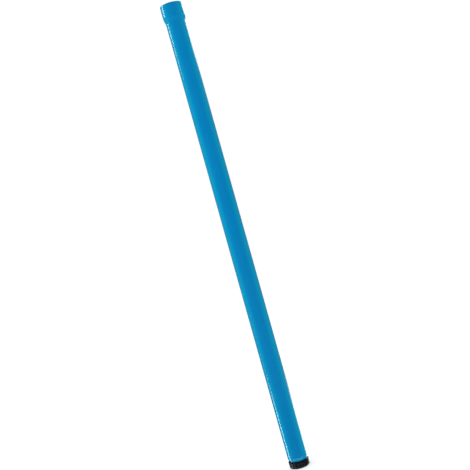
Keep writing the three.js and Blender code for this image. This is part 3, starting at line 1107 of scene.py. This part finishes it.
@dataclass
class ButtCap:
    """The ribbed screw cap with its threaded plug, its seal and its buffer."""

    outside: float = 19.7 * MM
    draft: float = 0.4 * MM
    chamfer: float = 1.8 * MM
    foot_width: float = 6.5 * MM
    dish_depth: float = 0.8 * MM
    plug_wall: float = 3 * MM
    ribs: int = 20
    groove_radius: float = 2.1 * MM
    groove_depth: float = 0.93 * MM
    ring_height: float = 0.35 * MM
    ring_radii: tuple[float, float] = (3.4 * MM, 4.6 * MM)
    ring_flank: float = 0.4 * MM
    foot_flank: float = 1.2 * MM
    thread_pitch: float = 3 * MM
    thread_depth: float = 0.75 * MM
    thread_start: float = 4 * MM
    plug_play: float = 0.5 * MM
    pad_height: float = 4 * MM
    pad_groove: float = 0.6 * MM
    pad_flank: float = 0.5 * MM
    pad_grooves: tuple[tuple[float, float], ...] = ((9 * MM, 10 * MM), (5 * MM, 6 * MM))

    def cap(self) -> bpy.types.Object:
        """Builds the cap: a ribbed, slightly tapered skirt, a dished underside with two rings and a threaded plug.

        Returns:
            The piece.
        """
        span, seal = Span.of("butt_cap"), Span.of("butt_seal")
        top = seal.low - FIT
        plug = Span.of("butt_buffer").radius + self.plug_play
        cup = plug - self.plug_wall
        foot = self.outside - self.draft - self.chamfer
        dish, deep, small = foot - self.foot_width, self.dish_depth, 0.2 * MM
        first, last = self.ring_radii
        outline = rounded([
            [0, deep, 0], [first - self.ring_flank, deep, small], [first, deep + self.ring_height, small],
            [last, deep + self.ring_height, small], [last + self.ring_flank, deep, small],
            [dish - self.foot_flank, deep, 0.6 * MM], [dish - 0.2 * MM, 0, 0.3 * MM], [foot, 0, 0.9 * MM],
            [foot + self.chamfer, self.chamfer, 1.0 * MM],
            [self.outside, top, 0.55 * MM], [plug + 0.4 * MM, top, 0], [plug, top + 0.4 * MM, 0],
            [plug, span.high, 0.8 * MM], [cup, span.high, 0.4 * MM], [cup, top, 1.0 * MM], [0, top, 0],
        ], closed=False)
        outline = refined(outline, 1.0 * MM, 0.5 * MM, top - 0.2 * MM, closed=False)
        outline = refined(outline, 0.3 * MM, top + 3.5 * MM, span.high, closed=False)
        grip = Scallops(self.ribs, self.outside, self.groove_radius, self.groove_depth, -MM, top + 0.1 * MM)
        thread = Thread(self.thread_pitch, self.thread_depth, top + self.thread_start, span.high - 0.5 * MM,
                        wall_at(plug))
        made = piece("butt_cap_ribbed", turned(outline, 360, grip, thread), closed=False, sharp=50)
        return dress(made, Look.BLACK, "cap", "butt_cap")

    def seal(self) -> bpy.types.Object:
        """Builds the flat seal with rolled edges.

        Returns:
            The piece.
        """
        span, bore = Span.of("butt_seal"), Span.of("butt_buffer").radius + self.plug_play + FIT
        outline = ring(bore, span.radius, span.low, span.high, 0.4 * MM, 0.4 * MM)
        return dress(piece("butt_seal_ring", turned(outline, 120)), Look.RUBBER, "seal", "butt_seal")

    def buffer(self) -> bpy.types.Object:
        """Builds the buffer: a stem pressed into the plug and a pad with two round grooves in its top.

        Returns:
            The piece.
        """
        span = Span.of("butt_buffer")
        stem = span.radius + self.plug_play - self.plug_wall - FIT
        top, ledge, edge = span.high, span.high - self.pad_height, 0.3 * MM
        grooves = [
            corner
            for near, far in self.pad_grooves
            for corner in (
                [far + self.pad_flank, top, edge], [far, top - self.pad_groove, edge],
                [near, top - self.pad_groove, edge], [near - self.pad_flank, top, edge],
            )
        ]
        outline = rounded([
            [0, span.low, 0], [stem, span.low, 0.8 * MM], [stem, ledge, 0.2 * MM], [span.radius, ledge, edge],
            [span.radius, top, 1.2 * MM], *grooves, [0, top, 0],
        ], closed=False)
        return dress(piece("butt_buffer_pad", turned(outline, 96), closed=False), Look.RUBBER, "cap", "butt_buffer")

    def build(self) -> list[bpy.types.Object]:
        """Builds the cap, seal and buffer."""
        return [self.cap(), self.seal(), self.buffer()]


# ---------------------------------------------------------------- the sliding sections


@dataclass
class Section:
    """A sliding tube."""

    body: str
    node: str
    wall: float = 1.5 * MM
    edge: float = 0.45 * MM

    def build(self) -> list[bpy.types.Object]:
        """Builds the tube with both its ends rounded inside and out.

        Returns:
            The piece, in a list.
        """
        span = Span.of(self.node)
        outline = ring(span.radius - self.wall, span.radius, span.low, span.high, self.edge, self.edge)
        return [dress(piece(f"{self.node}_anodised", turned(outline, 144)), Look.SILVER, self.body, self.node)]


@dataclass
class Collar:
    """The guide collar on the middle tube's mouth, fluted so that a wet hand can turn it."""

    flutes: int = 24
    flute_depth: float = 0.5 * MM
    web: float = 4.5 * MM

    def build(self) -> list[bpy.types.Object]:
        """Builds the collar.

        Returns:
            The piece, in a list.
        """
        span = Span.of("middle_collar")
        seat = Span.of("middle_tube").radius + FIT
        guide = Span.of("inner_tube").radius + SLIDE
        step = span.high - self.web
        outline = rounded([
            [span.radius, span.low, 0.6 * MM], [span.radius, span.high, 1.1 * MM], [guide, span.high, 0.7 * MM],
            [guide, step, 0.15 * MM], [seat, step, 0.15 * MM], [seat, span.low, 0.3 * MM],
        ])
        outline = refined(outline, 0.5 * MM, span.low, span.high)
        grip = Flutes(self.flutes, -self.flute_depth, span.low + 0.4 * MM, span.high - 0.8 * MM,
                      (span.radius - 0.2 * MM, span.radius + 0.1 * MM), 2)
        made = piece("middle_guide_collar", turned(outline, 288, grip))
        return [dress(made, Look.GREY, "middle", "middle_collar")]


@dataclass
class TipSocket:
    """The threaded socket for the hook head and the foam plug below it."""

    flange: float = 3 * MM
    socket_wall: float = 3.35 * MM
    socket_depth: float = 24 * MM
    thread_pitch: float = 2 * MM
    thread_depth: float = 0.8 * MM
    tube_wall: float = 1.5 * MM
    groove_depth: float = 0.5 * MM
    groove_span: tuple[float, float] = (6 * MM, 10 * MM)
    groove_flank: float = 0.6 * MM
    countersink: float = 1.2 * MM
    wave: float = 0.05 * MM

    def socket(self) -> bpy.types.Object:
        """Builds the socket: a barbed stem, a flange over the tube's end and a coarse thread inside.

        Returns:
            The piece.
        """
        span = Span.of("tip_insert")
        stem = span.radius - self.tube_wall - FIT
        hole = stem - self.socket_wall
        top, under, floor = span.high, span.high - self.flange, span.high - self.socket_depth
        waist, tight, small = stem - self.groove_depth, 0.1 * MM, 0.2 * MM
        groove_high, groove_low = (under - depth for depth in self.groove_span)
        outline = rounded([
            [0, span.low, 0], [stem - 0.6 * MM, span.low, 0.6 * MM], [stem, span.low + 1.5 * MM, 0.4 * MM],
            [stem, groove_low, tight], [waist, groove_low + self.groove_flank, small],
            [waist, groove_high - self.groove_flank, small], [stem, groove_high, tight], [stem, under, tight],
            [span.radius, under, 0.3 * MM], [span.radius, top, 0.5 * MM], [hole + self.countersink, top, small],
            [hole, top - self.countersink, small], [hole, floor, 0.8 * MM], [0, floor, 0],
        ], closed=False)
        thread_low = floor + self.thread_pitch
        outline = refined(outline, 0.22 * MM, thread_low, under - 12 * MM, closed=False)
        outline = refined(outline, 0.22 * MM, under - 12 * MM, top - self.countersink - 0.1 * MM, closed=False)
        thread = Thread(self.thread_pitch, self.thread_depth, thread_low, top + self.thread_pitch / 2, wall_at(hole),
                        False)
        made = piece("tip_threaded_socket", turned(outline, 128, thread), closed=False)
        return dress(made, Look.BLACK, "inner", "tip_insert")

    def plug(self) -> bpy.types.Object:
        """Builds the foam plug, whose radius swells and sinks in slow waves.

        Returns:
            The piece.
        """
        span = Span.of("float_plug")
        outline = rounded([
            [0, span.low, 0], [span.radius, span.low, 1.5 * MM], [span.radius, span.high, 1.5 * MM], [0, span.high, 0],
        ], closed=False)
        outline = refined(outline, 2 * MM, span.low, span.high, closed=False)

        def swell(r: np.ndarray, z: np.ndarray, a: np.ndarray) -> tuple[np.ndarray, np.ndarray]:
            """Draws the side in by up to twice the wave's depth, by a product of two sines of angle and height."""
            wave = np.sin(3 * a + 210 * z) * np.sin(5 * a - 330 * z)
            return r - self.wave * (1 + wave) * (r > span.radius / 2), z

        made = piece("foam_float_plug", turned(outline, 96, swell), closed=False)
        return dress(made, Look.FOAM, "inner", "float_plug")

    def build(self) -> list[bpy.types.Object]:
        """Builds the socket and the plug."""
        return [self.socket(), self.plug()]


# ---------------------------------------------------------------- the twist locks


@dataclass
class TwistLock:
    """A lock below the end of a tube: plug and spindle, split expander, keyed cone, washer and screw."""

    name: str
    web: float = 3 * MM
    flange: float = 3 * MM
    skirt_wall: float = 2.4 * MM
    slots: int = 6
    slot_width: float = 1.6 * MM
    key_width: float = 1.0 * MM
    spindle_radius: float = 4 * MM
    bore: float = 4.3 * MM
    spindle_pitch: float = 3 * MM
    spindle_thread: float = 0.7 * MM
    taper: float = math.tan(math.radians(12))
    cone_gap: float = 0.5 * MM
    tap_radius: float = 1.75 * MM
    tap_depth: float = 12 * MM
    tube_wall: float = 1.5 * MM
    barb: float = 0.6 * MM
    barb_pitch: float = 6 * MM
    slot_land: float = 0.5 * MM
    finger_groove: float = 0.35 * MM
    finger_flank: float = 0.5 * MM
    upper_groove: tuple[float, float] = (5 * MM, 8.5 * MM)
    lower_groove: tuple[float, float] = (12 * MM, 2.5 * MM)
    recess_width: float = 0.9 * MM
    recess_depth: float = 1.2 * MM
    screw_pitch: float = 1.0 * MM
    screw_thread: float = 0.3 * MM

    def plug(self) -> bpy.types.Object:
        """Builds the plug: a stem with two barbs, a flange and a coarse-threaded spindle with a tapped end.

        Returns:
            The piece.
        """
        span, expander = Span.of(f"{self.name}_lock_plug"), Span.of(f"{self.name}_lock_expander")
        under = expander.high + GAP
        over = under + self.flange
        stem, rod, tap = span.radius - self.tube_wall - FIT, self.spindle_radius, self.tap_radius
        waist, tight, small, pitch = stem - self.barb, 0.1 * MM, 0.2 * MM, self.barb_pitch
        barbs = [
            corner
            for level in (over + pitch, over + 2 * pitch)
            for corner in ([stem, level, tight], [waist, level + small, tight], [waist, level + pitch / 2, tight])
        ]
        outline = rounded([
            [tap, span.low, small], [rod, span.low, 0.5 * MM], [rod, under, 0.3 * MM],
            [span.radius, under, 0.5 * MM], [span.radius, over, small], [stem, over, tight], *barbs,
            [stem, over + 3 * pitch, tight], [stem - 0.8 * MM, span.high, 0.6 * MM], [0, span.high, 0],
            [0, span.low + self.tap_depth, 0], [tap, span.low + self.tap_depth, 0],
        ])
        outline = refined(outline, 0.3 * MM, span.low, under - 0.4 * MM)
        thread = Thread(self.spindle_pitch, self.spindle_thread, span.low + 0.5 * MM, under - 1 * MM, wall_at(rod))
        return dress(piece(f"{self.name}_lock_spindle_plug", turned(outline, 96, thread)), Look.WHITE, self.name,
                     f"{self.name}_lock_plug")

    def expander(self) -> bpy.types.Object:
        """Builds the expander: a web over a tapered skirt that six slots split into fingers.

        Returns:
            The piece.
        """
        span = Span.of(f"{self.name}_lock_expander")
        outside, waist = span.radius, span.radius - self.finger_groove
        web = span.high - self.web
        mouth = outside - self.skirt_wall
        throat = mouth - (web - span.low) * self.taper
        slot_top = web - self.slot_land
        at_slot = mouth - (slot_top - span.low) * self.taper
        flank = self.finger_flank
        head, foot = web - self.upper_groove[0], web - self.upper_groove[1]
        low_head, low_foot = web - self.lower_groove[0], span.low + self.lower_groove[1]
        skirt = np.array([
            [outside, slot_top], [outside, head], [waist, head - flank], [waist, foot + flank], [outside, foot],
            [outside, low_head], [waist, low_head - flank], [waist, low_foot + flank], [outside, low_foot],
            [outside, span.low], [mouth, span.low], [at_slot, slot_top],
        ])
        top = np.array([[throat, web], [self.bore, web], [self.bore, span.high], [outside, span.high]])
        along = np.concatenate([[0], np.cumsum(np.linalg.norm(np.diff(skirt, axis=0), axis=1))])
        share = (along / along[-1])[:, None]
        roof = skirt[0] + share * (skirt[-1] - skirt[0])
        grid = slotted(np.vstack([skirt, top]), np.vstack([roof, top]), self.slots, self.slot_width, 14)
        made = bevelled(piece(f"{self.name}_lock_split_expander", grid), 0.2 * MM)
        return dress(made, Look.BLACK, f"{self.name}_expander", f"{self.name}_lock_expander")

    def cone(self) -> bpy.types.Object:
        """Builds the cone nut, with a key for each slot of the expander.

        Returns:
            The piece.
        """
        span, expander = Span.of(f"{self.name}_lock_cone"), Span.of(f"{self.name}_lock_expander")
        base = expander.radius - self.skirt_wall - self.cone_gap
        tip = base - (span.high - expander.low) * self.taper
        key = expander.radius - self.skirt_wall / 2
        low, start, top = span.low, expander.low, span.high
        shared = [[self.bore, top], [self.bore, low], [base, low], [base, start]]
        plain = np.array(shared + [[base, start], [tip, top], [tip, top]])
        keyed = np.array(shared + [[key, start], [key, top], [tip, top]])
        grid = slotted(plain, keyed, self.slots, self.key_width, 14)
        made = bevelled(piece(f"{self.name}_lock_keyed_cone", grid), 0.25 * MM)
        return dress(made, Look.WHITE, f"{self.name}_cone", f"{self.name}_lock_cone")

    def washer(self) -> bpy.types.Object:
        """Builds the washer, with punched edges: round on one face and crisper on the other.

        Returns:
            The piece.
        """
        span, hole = Span.of(f"{self.name}_lock_washer"), self.tap_radius
        outline = rounded([
            [span.radius, span.low, 0.35 * MM], [span.radius, span.high, 0.12 * MM], [hole, span.high, 0.12 * MM],
            [hole, span.low, 0.3 * MM],
        ])
        return dress(piece(f"{self.name}_lock_plain_washer", turned(outline, 80)), Look.STEEL, self.name,
                     f"{self.name}_lock_washer")

    def screw(self) -> bpy.types.Object:
        """Builds the pan-head screw, with a cross recess in its head and a thread on its shank.

        Returns:
            The piece.
        """
        span = Span.of(f"{self.name}_lock_screw")
        washer = Span.of(f"{self.name}_lock_washer")
        under, head, shank = washer.low - GAP, span.radius, self.tap_radius - FIT
        face = np.linspace(0, 0.72 * head, 26)
        outline = np.vstack([
            np.column_stack([face, np.full_like(face, span.low)]),
            rounded([
                [0.74 * head, span.low, 0], [head, span.low + 1.3 * MM, 0.7 * MM], [head, under, 0.2 * MM],
                [shank, under, 0.2 * MM], [shank, span.high, 0.5 * MM], [0, span.high, 0],
            ], closed=False),
        ])
        outline = refined(outline, 0.14 * MM, under + 0.2 * MM, span.high, closed=False)
        recess = CrossRecess(self.recess_width, 0.55 * head, self.recess_depth, span.low)
        thread = Thread(self.screw_pitch, self.screw_thread, under + 0.5 * MM, span.high, wall_at(shank, 0.05 * MM))
        made = piece(f"{self.name}_lock_pan_screw", turned(outline, 96, recess, thread), closed=False)
        return dress(made, Look.STEEL, self.name, f"{self.name}_lock_screw")

    def build(self) -> list[bpy.types.Object]:
        """Builds the five pieces of the lock."""
        return [self.plug(), self.expander(), self.cone(), self.washer(), self.screw()]


# ---------------------------------------------------------------- the studio


@dataclass(frozen=True)
class Panel:
    """An upright soft panel of light between two bearings, in degrees, with soft edges and a strength."""

    start: float
    end: float
    soft: float
    strength: float

    def light(self, g: Graph, bearing: bpy.types.NodeSocket) -> bpy.types.NodeSocket:
        """Gives the panel's strength between its bearings, falling to nothing over its soft edges.

        Args:
            g: the world's graph.
            bearing: angle of a direction from the camera's side.

        Returns:
            The output.
        """
        a, b, s = (math.radians(angle) for angle in (self.start, self.end, self.soft))
        inside = g.maths("MULTIPLY", g.between(bearing, a - s, a, 0.0, 1.0), g.between(bearing, b, b + s, 1.0, 0.0))
        return g.maths("MULTIPLY", inside, self.strength)


@dataclass
class Studio:
    """A pale floor, a white surround with soft light panels in it, and the camera.

    The surround is one world shader with three readings: plain white where it is looked at, an even wrap of soft light
    for what a matt surface gathers, and a dim room with four upright panels for what a gloss surface mirrors.
    """

    distance: float = 1.5097
    lens: float = 61.458
    sensor: float = 36
    lean: float = 15.68
    aside: float = -0.75 * MM
    above: float = 1.1 * MM
    floor_reach: float = 8.0
    floor_albedo: float = 0.8
    floor_roughness: float = 0.9
    floor_glow: float = 0.42
    key_place: tuple[float, float, float] = (-0.5, -0.85, 0.72)
    key_power: float = 3.0
    key_size: float = 0.5
    backdrop: float = 1.02
    wrap: tuple[float, float] = (0.5, 1.0)
    wrap_lift: float = 0.1
    wrap_front: Colour = (0.92, 0.94, 1, 1)
    wrap_back: Colour = (0.96, 1, 0.98, 1)
    left: Panel = Panel(-114.0, -102.0, 3.0, 12.0)
    right: Panel = Panel(128.0, 172.0, 6.0, 3.7)
    panel_foot: tuple[float, float] = (0.19, 0.235)
    panel_head: tuple[float, float] = (0.5, 0.7)
    panel_rest: float = 0.25
    low_light: float = 4.4
    low_head: tuple[float, float] = (-0.42, -0.34)
    low_foot: tuple[float, float] = (-0.75, -0.6)
    low_front: tuple[float, float] = (0.2, 0.5)
    top_light: float = 0.7
    top_rise: tuple[float, float] = (0.3, 0.9)
    room: float = 0.16

    def camera(self, length: float) -> None:
        """Stands the camera level with the pole's middle and turns it so that the pole's top leans left.

        Args:
            length: the pole's length.
        """
        data = bpy.data.cameras.new("camera")
        data.lens = self.lens
        data.sensor_width = self.sensor
        camera = bpy.data.objects.new("camera", data)
        c, s = math.cos(math.radians(self.lean)), math.sin(math.radians(self.lean))
        right, up, back = (c, 0, -s), (s, 0, c), (0, -1, 0)
        turn = Matrix((right, up, back)).transposed().to_4x4()
        camera.matrix_world = Matrix.Translation((self.aside, -self.distance, length / 2 + self.above)) @ turn
        bpy.context.scene.collection.objects.link(camera)
        bpy.context.scene.camera = camera

    def floor(self) -> None:
        """Lays a wide pale floor that glows a little, so that it stays as pale as the surround."""
        ends = (-self.floor_reach, self.floor_reach)
        mesh = bpy.data.meshes.new("floor")
        mesh.from_pydata([(x, y, 0) for x in ends for y in ends], [], [[0, 2, 3, 1]])
        made = bpy.data.objects.new("floor", mesh)
        bpy.context.scene.collection.objects.link(made)
        material = bpy.data.materials.new("pale_floor")
        material.use_nodes = True
        shader = material.node_tree.nodes["Principled BSDF"]
        shader.inputs["Base Color"].default_value = (*[self.floor_albedo] * 3, 1)
        shader.inputs["Roughness"].default_value = self.floor_roughness
        shader.inputs["Specular IOR Level"].default_value = 0.0
        shader.inputs["Emission Color"].default_value = (1, 1, 1, 1)
        shader.inputs["Emission Strength"].default_value = self.floor_glow
        mesh.materials.append(material)
        made.visible_glossy = False
        made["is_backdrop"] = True

    def key(self) -> None:
        """Hangs a soft square light on the left, above the pole's middle. Gloss surfaces don't mirror it."""
        data = bpy.data.lights.new("key", "AREA")
        data.energy = self.key_power
        data.size = self.key_size
        light = bpy.data.objects.new("key", data)
        light.location = self.key_place
        light.rotation_euler = Vector((-self.key_place[0], -self.key_place[1], 0)).to_track_quat("-Z", "Y").to_euler()
        light.visible_glossy = False
        light.visible_camera = False
        bpy.context.scene.collection.objects.link(light)

    def surround(self) -> None:
        """Builds the world: white to the eye, a soft wrap for matt surfaces and panels for gloss ones.

        The world isn't sampled as a light, because such samples don't know which kind of surface they light.
        """
        world = bpy.data.worlds.new("studio")
        bpy.context.scene.world = world
        world.use_nodes = True
        world.cycles.sampling_method = "NONE"
        g = Graph(world.node_tree)
        plain = world.node_tree.nodes["Background"]
        plain.inputs["Color"].default_value = (1, 1, 1, 1)
        plain.inputs["Strength"].default_value = self.backdrop
        x, y, z = g.add("ShaderNodeSeparateXYZ", Vector=g.add("ShaderNodeTexCoord").outputs["Generated"]).outputs
        forward = g.maths("MULTIPLY", y, -1.0)
        matt = self.matt_light(g, forward, z)
        gloss = self.gloss_light(g, g.maths("ARCTAN2", x, forward), forward, z)
        path = g.add("ShaderNodeLightPath").outputs
        soft = g.add("ShaderNodeMixShader", i0=path["Is Glossy Ray"], i1=matt, i2=gloss).outputs[0]
        seen = g.add("ShaderNodeMixShader", i0=path["Is Camera Ray"], i1=soft, i2=plain.outputs[0]).outputs[0]
        g.feed(world.node_tree.nodes["World Output"], Surface=seen)

    def matt_light(self, g: Graph, forward: bpy.types.NodeSocket, z: bpy.types.NodeSocket) -> bpy.types.NodeSocket:
        """Gives the light that matt surfaces gather: dimmest from the camera's side, stronger from behind and above.

        Args:
            g: the world's graph.
            forward: how far a direction points to the camera's side.
            z: how far it points up.

        Returns:
            The background shader's output.
        """
        front, behind = self.wrap
        back = g.between(forward, -1.0, 1.0, 1.0, 0.0)
        lift = g.maths("MULTIPLY_ADD", z, self.wrap_lift, g.maths("MULTIPLY_ADD", back, behind - front, front))
        colour = g.blend(back, self.wrap_front, self.wrap_back)
        return g.add("ShaderNodeBackground", Color=colour, Strength=lift).outputs[0]

    def gloss_light(
        self, g: Graph, bearing: bpy.types.NodeSocket, forward: bpy.types.NodeSocket, z: bpy.types.NodeSocket
    ) -> bpy.types.NodeSocket:
        """Gives what gloss surfaces mirror: a dim room with soft panels.

        There is an upper and a lower panel on the left and on the right, and a low one in front.

        Args:
            g: the world's graph.
            bearing: angle of a direction from the camera's side, positive to the right.
            forward: how far it points to the camera's side.
            z: how far it points up.

        Returns:
            The background shader's output.
        """
        slope = g.maths("ABSOLUTE", z)
        height = g.between(slope, *self.panel_foot, 0.0, 1.0)
        top = g.between(slope, *self.panel_head, 1.0, self.panel_rest)
        panels = g.maths("ADD", self.left.light(g, bearing), self.right.light(g, bearing))
        lit = g.maths("MULTIPLY", g.maths("MULTIPLY", panels, height), top)
        low = g.maths("MULTIPLY", g.between(z, *self.low_head, 1.0, 0.0), g.between(z, *self.low_foot, 0.0, 1.0))
        near = g.maths("MULTIPLY", low, g.between(forward, *self.low_front, 0.0, self.low_light))
        above = g.between(z, *self.top_rise, 0.0, self.top_light)
        strength = g.maths("ADD", g.maths("ADD", lit, near), g.maths("ADD", above, self.room))
        return g.add("ShaderNodeBackground", Color=(1, 1, 1, 1), Strength=strength).outputs[0]

    def build(self, length: float) -> None:
        """Builds the camera, floor, key light and surround.

        Args:
            length: the pole's length.
        """
        self.camera(length)
        self.floor()
        self.key()
        self.surround()
        bpy.context.scene.view_settings.view_transform = "Standard"


# ---------------------------------------------------------------- the whole pole


def main() -> None:
    """Builds and reports the pole's pieces in order, then the studio."""
    logging.basicConfig(level=logging.INFO, format="%(name)s: %(message)s")
    cad_box = [list(corner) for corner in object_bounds()]
    assemblies = (
        OuterShell(), ButtCap(), Section("middle", "middle_tube"), Collar(), TwistLock("middle"),
        Section("inner", "inner_tube"), TipSocket(), TwistLock("inner"),
    )
    for assembly in assemblies:
        for made in assembly.build():
            LOG.info("%s: %d faces", made.name, len(made.data.polygons))
    Studio().build(cad_box[1][2])


if __name__ == "__main__":
    main()
